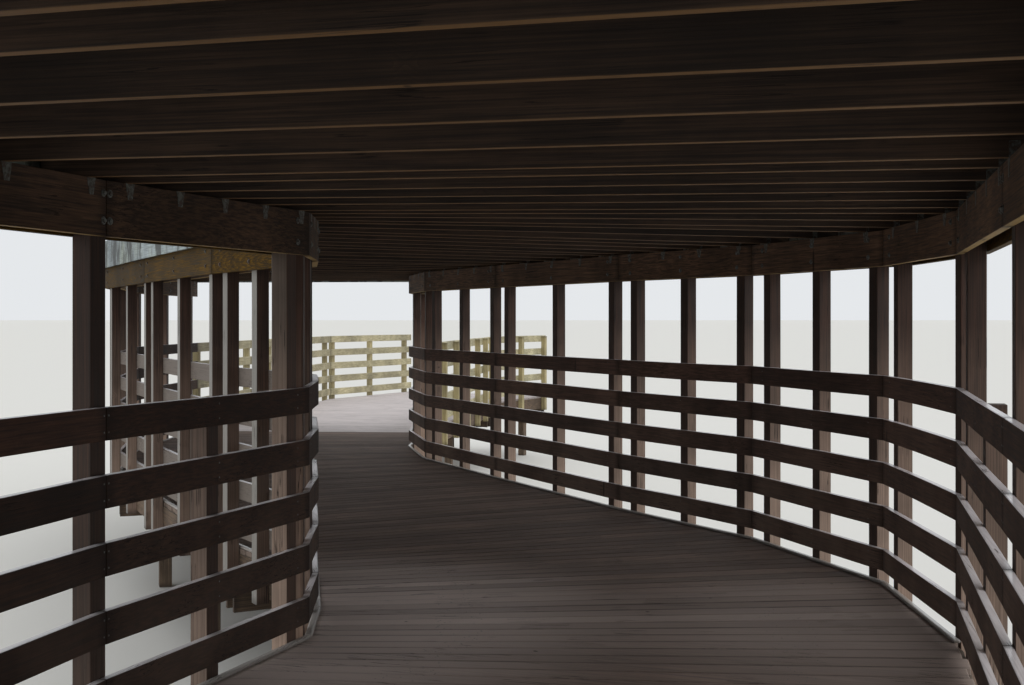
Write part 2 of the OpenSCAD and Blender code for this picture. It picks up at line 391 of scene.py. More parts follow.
def new_material(name):
    """An empty material, its nodes and its shader"""
    material = bpy.data.materials.new(name)
    material.use_nodes = True
    return material, material.node_tree, material.node_tree.nodes["Principled BSDF"]


def add(tree, kind, inputs=(), out=0, **settings):
    """Adds a node with its settings, sets or links its inputs, by order or name, and returns an output"""
    node = tree.nodes.new("ShaderNode" + kind)
    for key, value in settings.items():
        setattr(node, key, value)
    for socket, value in inputs.items() if isinstance(inputs, dict) else enumerate(inputs):
        if isinstance(value, bpy.types.NodeSocket):
            tree.links.new(value, node.inputs[socket])
        else:
            node.inputs[socket].default_value = value
    return node.outputs[out]


# %% Read where a point lies
# Inputs of Map Range, in order: value, from low, from high, to low, to high.
# Inputs of a colour Mix: 0 is its factor, 6 and 7 are its two colours, and output 2 is the result.
def board_sockets(tree):
    """What a finish can follow: the grain and tone of the board, and where a point lies and looks"""
    place = add(tree, "Attribute", out="Vector", attribute_name="place")
    normal = add(tree, "NewGeometry", out="True Normal")
    spot = add(tree, "TexCoord", out="Object")
    patches = {"Vector": spot, "Scale": 1.7, "Detail": 4.0, "Roughness": 0.6}
    return {
        "grain": add(tree, "Attribute", out="Vector", attribute_name="grain"),
        "tone": add(tree, "Attribute", out="Fac", attribute_name="tone"),
        # 1 on the face towards the walkway, -1 on the face away from it
        "to_walk": add(tree, "SeparateXYZ", (place,), "X"),
        # metres to the nearer end of the board
        "to_end": add(tree, "SeparateXYZ", (place,), "Y"),
        # 1 on faces that look up, -1 on faces that look down
        "upward": add(tree, "SeparateXYZ", (normal,), "Z"),
        "height": add(tree, "SeparateXYZ", (spot,), "Z"),
        "spot": spot,
        # patches about 600 mm wide, where dirt gathers more or less
        "patches": add(tree, "TexNoise", patches, "Fac"),
    }


# %% Draw the grain
# The Wave node draws its rings 314 mm apart at a scale of 1.
WAVE_RING_MM = 314
# Real fibres are too fine to show, so their streaks are drawn 10 mm wide, and about 560 mm long.
FIBRE_MM = 10


def draw_grain(tree, board, ring_mm, knots):
    """Adds rings, fibres, knots and drying cracks to the sockets of the board"""
    grain = board["grain"]
    # knots: branches about 110 mm apart that rise from the pith, round on top and long on the sides
    knot_space = add(tree, "Mapping", {"Vector": grain, "Scale": (9, 9, 1.2)})
    cells = add(tree, "TexVoronoi", {"Vector": knot_space, "Scale": 1.0}, "Distance")
    kept = add(tree, "Math", (cells.node.outputs["Color"], 1 - 0.3 * knots), operation="GREATER_THAN")
    board["knot"] = add(tree, "MapRange", (cells, 0.07, 0.15, kept, 0.0), **SMOOTH)
    # rings round the pith, pushed aside by the knots
    swirl = add(tree, "MapRange", (cells, 0.08, 0.4, kept, 0.0), **SMOOTH)
    push = add(tree, "Math", (swirl, 9.0), operation="MULTIPLY")
    ring_space = add(tree, "Mapping", {"Vector": grain, "Scale": (1, 0.12, 1)})
    rings = {
        "Vector": ring_space, "Scale": WAVE_RING_MM / ring_mm, "Distortion": 6.0, "Detail": 2.0,
        "Detail Scale": 0.16, "Phase Offset": push,
    }
    ring_kind = {"wave_type": "RINGS", "rings_direction": "Y", "wave_profile": "SAW"}
    board["rings"] = add(tree, "TexWave", rings, "Fac", **ring_kind)
    # fibres: long thin streaks, and how patchy they leave any film on top
    fibre_space = add(tree, "Mapping", {"Vector": grain, "Scale": (1000 / FIBRE_MM, 1.8, 1000 / FIBRE_MM)})
    fibres = {"Vector": fibre_space, "Scale": 1.0, "Detail": 4.0, "Roughness": 0.65}
    board["fibre"] = add(tree, "TexNoise", fibres, "Fac")
    board["film"] = add(tree, "MapRange", (board["fibre"], 0.2, 0.6, 0.55, 0.95), **SMOOTH)
    # drying cracks about 18 mm apart: where a stretched noise crosses its middle, in some stretches only
    crack_space = add(tree, "Mapping", {"Vector": grain, "Scale": (55, 0.9, 55)})
    crack_noise = add(tree, "TexNoise", {"Vector": crack_space, "Scale": 1.0, "Detail": 2.0}, "Fac")
    crack_line = add(tree, "Math", (crack_noise, 0.5, 0.012), operation="COMPARE")
    crack_here = add(tree, "TexNoise", {"Vector": grain, "Scale": 2.3, "Detail": 1.0}, "Fac")
    board["crack"] = add(tree, "MapRange", (crack_here, 0.55, 0.59, 0.0, crack_line), **SMOOTH)


# %% Stain it
# The wood is painted in layers, each given as the share of the surface that it covers, and its colour.
def stain_layers(tree, board, dark, light, ring_depth, aged, foot):
    """Over the dark stain: light fibres, wood that lost its stain, painted sunlight on the lower part, and dark
    rings
    """
    yield add(tree, "MapRange", (board["fibre"], 0.3, 0.7), **SMOOTH), paint(light)
    # the face towards the walkway is kept dark as painted shade, and the others lose more of their stain the
    # higher their tone is
    off_walk = add(tree, "MapRange", (board["to_walk"], 0.981, 0.995, board["film"], 0.1), **SMOOTH)
    for colour, low, high in aged:
        yield add(tree, "MapRange", (board["tone"], low, high, 0.0, off_walk), **SMOOTH), paint(colour)
    # painted light: the lower part of the sides is lighter up to 1.7 m over the deck, where sunlight comes in
    # under the eave
    if foot:
        foot_light = add(tree, "MapRange", (board["tone"], 0.0, 0.15, 0.2, off_walk))
        low, high = deck_level + 0.1, deck_level + 1.7
        yield add(tree, "MapRange", (board["height"], low, high, foot_light, 0.0)), paint(foot)
    yield add(tree, "Math", (board["rings"], ring_depth), operation="MULTIPLY"), paint(dark)


# %% Let it weather, and paint the light on some of its faces
def weather_and_light_layers(tree, board, silver, greying, top, under, outer):
    """Silver on faces that look up, then the faces that have a colour of their own: painted light below, a top
    that is partly a painted highlight, and weathered outer faces
    """
    silvered = add(tree, "Math", (board["film"], greying), operation="MULTIPLY")
    yield add(tree, "MapRange", (board["upward"], 0.3, 0.9, 0.0, silvered), **SMOOTH), paint(silver)
    for colour, way, low, high in (
        (top, "upward", 0.85, 0.97), (under, "upward", -0.85, -0.97), (outer, "to_walk", -0.981, -0.995),
    ):
        if colour:
            yield add(tree, "MapRange", (board[way], low, high, 0.0, board["film"])), paint(colour)


# %% Let it gather dirt, and paint patches of sunlight
# a pale pink grey, painted where sunlight falls on the deck
SUNLIT_PATCH = paint("#dccbc3")
DRIED_MUD = paint("#84786c")
ALGAE = paint("#878d66")
BLACK_MOULD = paint("#1c1f1c")


def dirt_and_sunlight_layers(tree, board, sun_patches, splash, mould):
    """Painted patches of sunlight in places given as x, y, reach and amount, then splashes from the deck, algae
    and mould
    """
    spot, patches = board["spot"], board["patches"]
    # painted sunlight: each patch is stronger on some boards than on others, by their tone
    for x, y, reach, amount in sun_patches:
        away = add(tree, "VectorMath", (spot, (x, y, deck_level)), "Value", operation="DISTANCE")
        sun_share = add(tree, "MapRange", (board["tone"], 0.0, 1.0, 0.5 * amount, amount))
        yield add(tree, "MapRange", (away, 0.3 * reach, reach, sun_share, 0.0), **SMOOTH), SUNLIT_PATCH
    if splash:
        uneven = add(tree, "MapRange", (patches, 0.35, 0.65, 0.4 * splash, splash), **SMOOTH)
        low, high = deck_level + 0.15, deck_level + 1.3
        yield add(tree, "MapRange", (board["height"], low, high, uneven, 0.0)), DRIED_MUD
    # the mould runs down from the top in streaks about 200 mm wide
    if mould:
        yield add(tree, "MapRange", (patches, 0.45, 0.7, 0.0, 0.5), **SMOOTH), ALGAE
        drip_space = add(tree, "Mapping", {"Vector": spot, "Scale": (5, 5, 1.5)})
        drips = {"Vector": drip_space, "Scale": 1.0, "Detail": 5.0, "Roughness": 0.7}
        running = add(tree, "TexNoise", drips, "Fac")
        yield add(tree, "MapRange", (running, 0.48, 0.6, 0.0, mould), **SMOOTH), BLACK_MOULD


def flaw_layers(tree, board, shade, ends, seams):
    """Dirt along the long edges, then the ends of the board, its knots and its cracks"""
    if seams:
        across = add(tree, "Math", (board["to_walk"],), operation="ABSOLUTE")
        uneven = add(tree, "MapRange", (board["patches"], 0.35, 0.65, 0.3 * seams, seams), **SMOOTH)
        dirty = add(tree, "MapRange", (board["tone"], 0.1, 0.7, uneven, 0.12))
        yield add(tree, "MapRange", (across, 0.78, 0.95, 0.0, dirty), **SMOOTH), shade
    end_colour = paint(ends) if ends else shade
    yield add(tree, "MapRange", (board["to_end"], 0.0, 0.07, 0.5, 0.0), **SMOOTH), end_colour
    flaws = add(tree, "Math", (board["knot"], board["crack"]), operation="MAXIMUM")
    yield add(tree, "Math", (flaws, 0.75), operation="MULTIPLY"), shade


# %% Build the wood
def timber(
    name, dark, light, silver, greying=0.2, ring_mm=8, ring_depth=0.35, rough=(0.5, 0.75), knots=0.5,
    tone=0.3, blotch=0.3, bump=0.5, shine=0.5, top=None, under=None, outer=None, foot=None, aged=(),
    ends=None, sun_patches=(), splash=0.0, mould=0.0, seams=0.0,
):
    """Wood from its own colours; top, under, outer and foot are those of faces up, down, away and low down

    Each entry of aged is a colour, and the tones at which it begins and at which it is all over the sides.
    Under and foot give painted light, top is partly a painted highlight, and the patches at given places are
    painted sunlight.
    """
    material, tree, shader = new_material(name)
    board = board_sockets(tree)
    draw_grain(tree, board, ring_mm, knots)
    body = paint(dark)
    for share, colour in stain_layers(tree, board, dark, light, ring_depth, aged, foot):
        body = add(tree, "Mix", {0: share, 6: body, 7: colour}, 2, **COLOUR)
    # the board's own tone, and blotches
    level = add(tree, "MapRange", (board["patches"], 0.3, 0.7, 1 - blotch, 1 + blotch), **SMOOTH)
    own_level = add(tree, "MapRange", (board["tone"], 0.0, 1.0, 1 - tone, 1 + tone))
    level = add(tree, "Math", (level, own_level), operation="MULTIPLY")
    body = add(tree, "Mix", {0: 1.0, 6: body, 7: level}, 2, blend_type="MULTIPLY", **COLOUR)
    shade = tuple(v * 0.35 for v in paint(dark)[:3]) + (1.0,)
    for share, colour in (
        *weather_and_light_layers(tree, board, silver, greying, top, under, outer),
        *dirt_and_sunlight_layers(tree, board, sun_patches, splash, mould),
        *flaw_layers(tree, board, shade, ends, seams),
    ):
        body = add(tree, "Mix", {0: share, 6: body, 7: colour}, 2, **COLOUR)
    tree.links.new(body, shader.inputs["Base Color"])
    # gloss: fibres differ, and tops with a colour of their own are rubbed smooth
    gloss = add(tree, "MapRange", (board["fibre"], 0.25, 0.75, *rough))
    if top:
        gloss = add(tree, "MapRange", (board["upward"], 0.85, 0.97, gloss, 0.2))
    tree.links.new(gloss, shader.inputs["Roughness"])
    shader.inputs["Specular IOR Level"].default_value = shine
    # relief: fibres and rings stand up, cracks go in
    relief = add(tree, "Math", (board["fibre"], board["rings"]), operation="ADD")
    relief = add(tree, "Math", (relief, board["crack"]), operation="SUBTRACT")
    depth = add(tree, "MapRange", (board["upward"], 0.85, 0.97, bump, bump * (0.3 if top else 1.0)))
    raised = add(tree, "Bump", {"Height": relief, "Strength": depth, "Distance": 0.0012})
    tree.links.new(raised, shader.inputs["Normal"])
    print(name, "has", len(tree.nodes), "nodes")
    return material


# %% [markdown]
# ### The single finishes
# The stain is a near-black brown that has worn thinner on posts and gone grey on top faces. Boards that the
# weather reaches, outside and on the landing, were treated but never stained, and are straw, ochre or silver.

# %% Mix the finishes of walls and roof frame
# sawn pine, dark brown stain: dull outside, rubbed smooth and pale on top by hands and rain; the near-white top
# is partly a painted highlight
LEFT_RAIL_FINISH = timber(
    "stained_sawn_pine_rail", "#2e1f17", "#52392d", "#a5a2a8", greying=0.5, rough=(0.7, 0.9), shine=0.4,
    top="#f0eaec", outer="#7f756d", splash=0.2,
)
# the same on the right, in lighter colours that paint the sunlight falling on the right-hand wall
RIGHT_RAIL_FINISH = timber(
    "sunlit_sawn_pine_rail", "#443027", "#73574a", "#a5a2a8", greying=0.5, rough=(0.7, 0.9), shine=0.4,
    top="#f0eaec", outer="#7f756d", splash=0.4,
)
# sawn pine posts: stain worn off the sides by different amounts, the walkway side kept dark as painted shade,
# and the lower parts painted lighter as painted sunlight
POST_FINISH = timber(
    "stained_sawn_pine_post", "#302119", "#563d32", "#8f8680", greying=0.4, ring_mm=10, shine=0.3, blotch=0.2,
    aged=(("#5f483e", 0.45, 0.7), ("#584d43", 0.92, 0.97)), outer="#94908a", foot="#b69d8c",
)
# beams and joists under the roof: thick stain, never rained on; their faces that look down are painted a
# lighter brown as painted light from below
BEAM_FINISH = timber(
    "stained_sawn_pine_beam", "#372a22", "#6e5441", "#6b5c50", greying=0.3, rough=(0.6, 0.8), shine=0.2,
    under="#ab8e5c", tone=0.6,
)
JOIST_FINISH = timber(
    "stained_sawn_pine_joist", "#2f241d", "#564335", "#6b5c50", rough=(0.6, 0.8), under="#9a7448"
)

# %% Mix the finishes of deck and strips
# boards under the roof: stained, walked smooth, with painted patches of sunlight at both corners of the first
# bend
left_corner = spots[FIRST_BEND] + np.array([-1.8, 0.375])
right_corner = spots[FIRST_BEND] + np.array([1.4, 0.075])
DECK_FINISH = timber(
    "walked_pine_deck", "#4e4038", "#927b6c", "#908079", greying=0.35, rough=(0.6, 0.8), blotch=0.2,
    tone=0.35, ring_mm=12, shine=0.12, ends="#94867c", seams=0.7,
    sun_patches=((*left_corner, 2.3, 1.2), (*right_corner, 1.9, 0.5)),
)
# boards in the open: bleached pink grey by sun and rain
OPEN_DECK_FINISH = timber(
    "bleached_pine_deck", "#948782", "#d0c6c4", "#dcd4d4", greying=0.6, rough=(0.6, 0.85), blotch=0.12,
    tone=0.12, ring_mm=12,
)
# thin strips worn by feet and brooms; their near-white top is partly a painted highlight
STRIP_FINISH = timber(
    "worn_pine_strip", "#aaa19a", "#d8d0c8", "#ded8d2", greying=0.8, rough=(0.4, 0.6), top="#ece7e1", tone=0.4
)

# %% Mix the finishes of what was never stained
# treated pine outdoors: pale straw, with faint rings in the rails
FENCE_FINISH = timber(
    "weathered_pine_fence", "#8a8062", "#c0b896", "#c8c3ab", greying=0.5, tone=0.15, ring_mm=9, ring_depth=0.2
)
FENCE_POST_FINISH = timber(
    "weathered_pine_fence_post", "#83764f", "#b3a781", "#b9b4a0", greying=0.5, tone=0.2, ring_mm=9
)
# treated pine beams outdoors under the eave: ochre, strong rings and knots
OUTER_BEAM_FINISH = timber(
    "weathered_pine_beam", "#281c05", "#64480c", "#6b5f38", greying=0.3, ring_mm=14, ring_depth=0.6,
    knots=1.0, tone=0.2, shine=0.05,
)
# treated piles and floor timbers: brown grey, rough sawn
PILE_FINISH = timber(
    "treated_pine_pile", "#4a3c30", "#85715d", "#8f877c", greying=0.5, rough=(0.7, 0.95), bump=0.8
)
FLOOR_FINISH = timber("treated_pine_floor", "#44362b", "#7a6551", "#8f877c", greying=0.3, rough=(0.7, 0.95))
# roof boards: silver grey above and dark below, by the same rule of faces that look up
ROOF_FINISH = timber("silvered_pine_roof", "#2b211b", "#483629", "#9d9891", greying=0.95, rough=(0.7, 0.9))
# edge boards of the roof: old pale paint with algae and black mould
FASCIA_FINISH = timber(
    "painted_pine_fascia", "#7b8688", "#b4c0c4", "#c6cdcd", greying=0.4, rough=(0.5, 0.7), ring_depth=0.1,
    knots=0.2, mould=0.9,
)

# %% [markdown]
# ## Dressing the frame
# Each node of the frame gets one piece in the same place: the piece is laid, given its finish, tied to the
# body and named as the node's stand-in. The difference between the two boxes is printed, and should stay within
# a few millimetres, or a centimetre at the unevenly sawn deck.

# %% Put a piece in a node's place
def dress(node, ending, pattern, timbers, finish, slot, **shape):
    """Timbers in the place of a node, as a piece with its name and an ending; shape is what lay takes"""
    piece = lay(pattern, timbers, node + ending, **shape)
    piece.data.materials.append(finish)
    points = points_of(piece)
    low, high = (np.array(corner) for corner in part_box(node))
    off = max(abs(points.min(axis=0) - low).max(), abs(points.max(axis=0) - high).max())
    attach(piece, "root")
    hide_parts(node)
    print(f"{piece.name}: {len(piece.data.polygons)} faces, box off by {off * 1000:.1f} mm")


# %% [markdown]
# ### Rails, rim joists, beams and edge boards
# They all run along the bays, so they differ only in their offsets and levels. The right beam and rails are
# painted paler than the left ones, as painted sunlight on the right-hand boards.

# %% Lay the boards that run along the bays
SIDES = (("left", -1), ("right", 1))
RAIL_ROWS = 5
# the right beam's higher tone paints it paler, as painted sunlight
BEAM_TONES = {-1: 0.42, 1: 0.98}


def run(node, bays, offset_1, offset_2, finish, slot, bow=0.002, arris=0.003, tone=None):
    """One board in each bay from the first, in the place of a node"""
    low, high = levels(node)
    boards = [bay_board(bay, offset_1, offset_2, low, high) for bay in range(bays)]
    shape = {"arris": arris, "bow": bow, "face": 1 if offset_1 < 0 else -1, "tones": [tone] * bays}
    dress(node, "_boards", sawn_block, boards, finish, slot, **shape)


for side_name, side in SIDES:
    inner = (side * O_IN, side * O_RAIL)
    outer = (side * O_POST, side * O_BEAM)
    edge = (side * O_EAVE, side * O_FASCIA)
    rail_finish = RIGHT_RAIL_FINISH if side > 0 else LEFT_RAIL_FINISH
    for row in range(1, RAIL_ROWS + 1):
        run(f"rail_{side_name}_{row}", ROOFED, *inner, rail_finish, "rail_timber", bow=0.004, arris=0.004)
    run("rim_joist_" + side_name, BAYS, *inner, FLOOR_FINISH, "floor_timber")
    run("inner_beam_" + side_name, ROOFED, *inner, BEAM_FINISH, "beam_timber", tone=BEAM_TONES[side])
    run("outer_beam_" + side_name, ROOFED, *outer, OUTER_BEAM_FINISH, "outer_beam_timber")
    run("fascia_" + side_name, ROOFED, *edge, FASCIA_FINISH, "fascia_timber", bow=0.0, arris=0.002)

# %% Lay the weathered rails of the landing
rail_levels = [levels(f"rail_left_{row}") for row in range(1, RAIL_ROWS + 1)]
rail_tops = [high for low, high in rail_levels]
rail_depth = rail_levels[0][1] - rail_levels[0][0]
for side_name, side in SIDES:
    node = "fence_rails_" + side_name
    boards = [
        bay_board(bay, side * O_IN, side * O_RAIL, top - rail_depth, top)
        for top in rail_tops
        for bay in range(ROOFED, BAYS)
    ]
    dress(node, "_boards", sawn_block, boards, FENCE_FINISH, "fence_timber", arris=0.004, bow=0.005)

# %% Lay the edge boards across the ends of the roof
fascia_low, fascia_high = levels("fascia_start")
for node, joint, heading, near, far in (
    ("fascia_start", 0, before(0), -SAW_GAP - FASCIA, -SAW_GAP),
    ("fascia_end", ROOFED, mean(ROOFED), SAW_GAP, SAW_GAP + FASCIA),
):
    left, right = at(joint, -O_FASCIA), at(joint, O_FASCIA)
    back, front = near * forward(heading), far * forward(heading)
    board = corners_of(left + back, right + back, right + front, left + front, fascia_low, fascia_high)
    dress(node, "_board", sawn_block, [board], FASCIA_FINISH, "fascia_timber", arris=0.002)

# %% [markdown]
# ### Posts
# A wall has one post where two bays run on straight, a pair where it turns, and on most sides one more in the
# middle. Those in the middle of the near sides stop at the top rail. The weather has taken the stain off each
# post by another amount. It is chosen one by one where the posts stand out, and by chance elsewhere.

# %% Space the posts
# distances of a pair from its corner, and from a tight one
POST_IN = 0.18
POST_NEAR = 0.1
TIGHT_LEFT = (4, 5, 6)
TIGHT_RIGHT = (4,)
# a side shorter than this has a single post
SHORT_SIDE = 0.6
# what stands in the middle of each side: nothing (0), a full post (1) or a short one (2)
MID_LEFT = [2, 2, 2, 2, 0, 0, 1, 1, 1, 1, 1, 2, 2, 2, 2]
MID_RIGHT = [2, 2, 2, 2, 0, 1, 1, 1, 1, 0, 1, 2, 2, 2, 2]
O_POST_LINE = O_RAIL + POST / 2


def side_length(bay, side):
    """Length of one side of a bay along the line of its posts"""
    offset = side * O_POST_LINE
    return float(np.linalg.norm(at(bay + 1, offset) - at(bay, offset)))


def straight(joint):
    return 0 < joint < BAYS and before(joint) == after(joint)


def post_gaps(joint, side):
    """Distances of the posts before and after a joint from it"""
    if side < 0:
        gap = POST_NEAR if joint in TIGHT_LEFT else POST_IN
        return gap, gap
    return POST_IN, POST_NEAR if joint in TIGHT_RIGHT else POST_IN


# %% Find the places of the posts
def post_spots(first, last, side):
    """Places of the full posts of one wall, each as bay and distance from the start of its side"""
    found = []
    for bay in range(first, last):
        length = side_length(bay, side)
        if length < SHORT_SIDE:
            found.append((bay, length / 2))
            continue
        found.append((bay, 0 if straight(bay) else post_gaps(bay, side)[1]))
        if bay == BAYS - 1 or not straight(bay + 1):
            found.append((bay, length - post_gaps(bay + 1, side)[0]))
    return found


def mid_spots(first, last, side, kinds, kind):
    """Places of the posts of one kind in the middle of sides"""
    return [(bay, side_length(bay, side) / 2) for bay in range(first, last) if kinds[bay] == kind]


def post_point(bay, distance, offset):
    """Point beside a post: its own distance along the wall, at any offset from the centre line"""
    side = 1 if offset > 0 else -1
    heading = wall_heading(bay, side)
    line = at(bay, side * O_POST_LINE) + distance * forward(heading)
    return line + rightward(heading) * (offset - side * O_POST_LINE)


wall_spots, short_spots, fence_spots = {}, {}, {}
for side, kinds in ((-1, MID_LEFT), (1, MID_RIGHT)):
    wall_spots[side] = post_spots(0, ROOFED, side) + mid_spots(0, ROOFED, side, kinds, 1)
    short_spots[side] = mid_spots(0, ROOFED, side, kinds, 2)
    fence_spots[side] = post_spots(ROOFED, BAYS, side) + mid_spots(ROOFED, BAYS, side, kinds, 2)
    print("side", side, "has", len(wall_spots[side]), "full and", len(short_spots[side]), "short posts")

# %% Set the posts
# how far the stain has gone, by side and bay, and at the first bend also by whether a post is at the far end
# the same tones also set how strong the painted sunlight on the lower part of each post is
BEND_TONES = {(-1, bay): 0.04 * (bay % 5) for bay in range(5, 10)}
BEND_TONES |= {(1, bay): 0.25 + 0.05 * (bay % 4) for bay in range(4, 10)}
# a post further than this from the start of its bay is at the far end
FAR_END = 0.5
CORNER_TONES = {
    (-1, 3, False): 0.0, (-1, 3, True): 0.96, (-1, 4, False): 0.7, (-1, 4, True): 0.35,
    (1, 3, False): 0.2, (1, 3, True): 0.2, (1, 4, False): 0.5,
}
SHORT_TONES = {(-1, 3): 0.15}


def wall_post_tone(side, bay, distance):
    """Tone of a full post, or nothing where chance may choose it"""
    return CORNER_TONES.get((side, bay, distance > FAR_END), BEND_TONES.get((side, bay)))


def set_posts(node, found, side, finish, slot, tones):
    """Posts at the places found, in the place of a node"""
    low, high = levels(node)
    offset = side * O_POST_LINE
    posts = [
        upright(post_point(bay, distance, offset), wall_heading(bay, side), POST, low, high, side)
        for bay, distance in found
    ]
    dress(node, "_sawn", sawn_block, posts, finish, slot, arris=0.004, bow=0.002, tones=tones)


for side_name, side in SIDES:
    tones = [wall_post_tone(side, bay, distance) for bay, distance in wall_spots[side]]
    set_posts("posts_" + side_name, wall_spots[side], side, POST_FINISH, "brown_timber", tones)
    tones = [SHORT_TONES.get((side, bay)) for bay, distance in short_spots[side]]
    set_posts("short_posts_" + side_name, short_spots[side], side, POST_FINISH, "brown_timber", tones)
    set_posts("fence_posts_" + side_name, fence_spots[side], side, FENCE_POST_FINISH, "fence_timber", None)

# %% [markdown]
# ### Floor frame
# Bents of two piles and two cap beams carry the floor joists. Only the other views show them.

# %% Build the floor frame
PILE = 0.14
PILE_OUT = 1.3
BENT_BACK = 0.16
CAP_BACK = 0.01
FLOOR_STEP = 0.5
FLOOR_ROWS = range(-3, 4)


def bent(joint):
    """Middle, heading and reach of the pile bent at a joint, drawn back from the open ends"""
    across = wall(joint, 1) - wall(joint, -1)
    heading = math.degrees(math.atan2(-across[1], across[0]))
    move = {0: BENT_BACK, BAYS: -BENT_BACK}.get(joint, 0)
    reach = min(O_RAIL - CAP_BACK, np.linalg.norm(across) / 2 + BOARD)
    return at(joint, 0) + move * forward(heading), heading, reach


low, high = levels("piles")
piles, caps = [], []
for joint in range(BAYS + 1):
    point, heading, reach = bent(joint)
    across, ahead = rightward(heading), forward(heading)
    left, right = point - reach * across, point + reach * across
    for side in (-1, 1):
        piles.append(upright(point + side * PILE_OUT * across, heading, PILE, low, high))
        back, front = (step * ahead for step in sorted((side * PILE / 2, side * (PILE / 2 + BOARD))))
        caps.append(corners_of(left + back, right + back, right + front, left + front, *levels("cap_beams")))
dress("piles", "_sawn", sawn_block, piles, PILE_FINISH, "pile_timber", arris=0.006)
dress("cap_beams", "_sawn", sawn_block, caps, FLOOR_FINISH, "floor_timber")
low, high = levels("floor_joists")
joists = [
    bay_board(bay, k * FLOOR_STEP - BOARD / 2, k * FLOOR_STEP + BOARD / 2, low, high)
    for bay in range(BAYS)
    for k in FLOOR_ROWS
]
dress("floor_joists", "_sawn", sawn_block, joists, FLOOR_FINISH, "floor_timber")

# %% [markdown]
# ### Deck
# The deck boards lie across the walkway and turn with it. Cutting them all on the mitre lines would leave
# thin slivers, so they are tapered a little and fan out through the bends: the direction of each joint
# between boards is the mean heading of the walkway over a few metres.

# %% Turn the deck boards with the walkway
TURN_REACH = 3.5
TURN_SAMPLES = 41
PLANK_TURN = 2.5


def station(distance):
    """Bay and point on the centre line at a distance from the start"""
    for bay, length in enumerate(BAY_LENGTH):
        if distance <= length or bay == BAYS - 1:
            return bay, spots[bay] + distance * forward(BAY_HEADING[bay])
        distance -= length


def mean_heading(distance):
    """Heading averaged over the walkway behind and ahead"""
    samples = distance + np.linspace(-TURN_REACH, TURN_REACH, TURN_SAMPLES)
    return float(np.mean([BAY_HEADING[station(max(sample, 0.0))[0]] for sample in samples]))


def plank_heading(distance):
    """Mean heading, brought onto the cut lines where the stained deck ends and at the far end"""
    heading = mean_heading(distance)
    for cut, square in ((cover_length, mean(ROOFED)), (whole_length, BAY_HEADING[-1])):
        heading += max(0.0, 1 - abs(distance - cut) / PLANK_TURN) * (square - heading)
    return heading


print("the deck boards turn to", [round(plank_heading(metres)) for metres in range(0, 33, 4)], "degrees")


# %% Find the ends of the deck boards
def deck_edge(offset):
    """Points of the edge of the deck at an offset, drawn on a metre at both ends"""
    edge = [at(joint, offset) for joint in range(BAYS + 1)]
    return [edge[0] - forward(BAY_HEADING[0]), *edge[1:-1], edge[-1] + forward(BAY_HEADING[-1])]


def edge_hit(point, direction, edge):
    """Where a line across the walkway first meets one of its edges"""
    hits = []
    for start, end in zip(edge, edge[1:]):
        span = end - start
        share = np.cross(start - point, direction) / np.cross(direction, span)
        reach = np.cross(start - point, span) / np.cross(direction, span)
        if -1e-6 <= share <= 1 + 1e-6 and reach > 0:
            hits.append(reach)
    return point + min(hits) * direction


def unit_step(start, end):
    """Unit vector in plan from one point to another"""
    return (end - start) / np.linalg.norm(end - start)


# %% Lay the deck boards
PLANK = 0.14
PLANK_GAP = 0.005
# how much the sawn ends differ: under the roof, on the landing, and on the right where no strip covers them
COVERED_TRIM = 0.012
LANDING_TRIM = 0.008
OPEN_TRIM = 0.035
# how much some boards are thinner than others
PLANK_DROP = 0.0015
strip_start = sum(BAY_LENGTH[:FIRST_BEND])


def planks(start, end, offset, trim):
    """Boards across the walkway between two distances from the start"""
    count = round((end - start) / (PLANK + PLANK_GAP))
    left_edge, right_edge = deck_edge(-offset), deck_edge(offset)
    lines = []
    for k in range(count + 1):
        distance = start + (end - start) * k / count
        point = station(distance)[1]
        direction = rightward(plank_heading(distance))
        lines.append((edge_hit(point, -direction, left_edge), edge_hit(point, direction, right_edge)))
    boards = []
    for (left_1, right_1), (left_2, right_2) in zip(lines, lines[1:]):
        gap = PLANK_GAP * chance.uniform(0.3, 0.9) / 2
        gap_left, gap_right = gap * unit_step(left_1, left_2), gap * unit_step(right_1, right_2)
        cut_left, cut_right = chance.uniform(0, trim, 2)
        if start + (end - start) * len(boards) / count < strip_start:
            cut_right = chance.uniform(0, OPEN_TRIM)
        in_left, in_right = (cut * unit_step(left_1, right_1) for cut in (cut_left, cut_right))
        top = deck_level - chance.uniform(0, PLANK_DROP)
        near = (left_1 + gap_left + in_left, right_1 + gap_right - in_right)
        far = (right_2 - gap_right - in_right, left_2 - gap_left + in_left)
        boards.append(corners_of(*near, *far, top - BOARD, top))
    return boards


covered = planks(SAW_GAP, cover_length, O_DECK, COVERED_TRIM)
landing = planks(cover_length, whole_length - SAW_GAP, O_DECK, LANDING_TRIM)
dress("deck_covered", "_planks", plank_block, covered, DECK_FINISH, "deck_timber", arris=0.004)
dress("deck_open", "_planks", plank_block, landing, OPEN_DECK_FINISH, "open_deck_timber", arris=0.004)

# %% [markdown]
# ### Edge strips
# A thin strip with a rounded top covers the ends of the deck boards. On the right it starts where the walkway
# begins to turn, and the left strip is painted lighter than the right one, as painted light from the left side.

# %% Lay the edge strips
# tones 0.9 and 0.2: the left strip is painted lighter, as painted light from the left side
for (side_name, side), first, tone in zip(SIDES, (0, FIRST_BEND), (0.9, 0.2)):
    node = "edge_strip_" + side_name
    low, high = levels(node)
    offsets = (side * O_STRIP - STRIP_HALF, side * O_STRIP + STRIP_HALF)
    strips = [bay_board(bay, *offsets, low, high) for bay in range(first, ROOFED)]
    shape = {"arris": 0.012, "bow": 0.001, "tones": [tone] * len(strips)}
    dress(node, "_rounded", round_block, strips, STRIP_FINISH, "strip_timber", **shape)

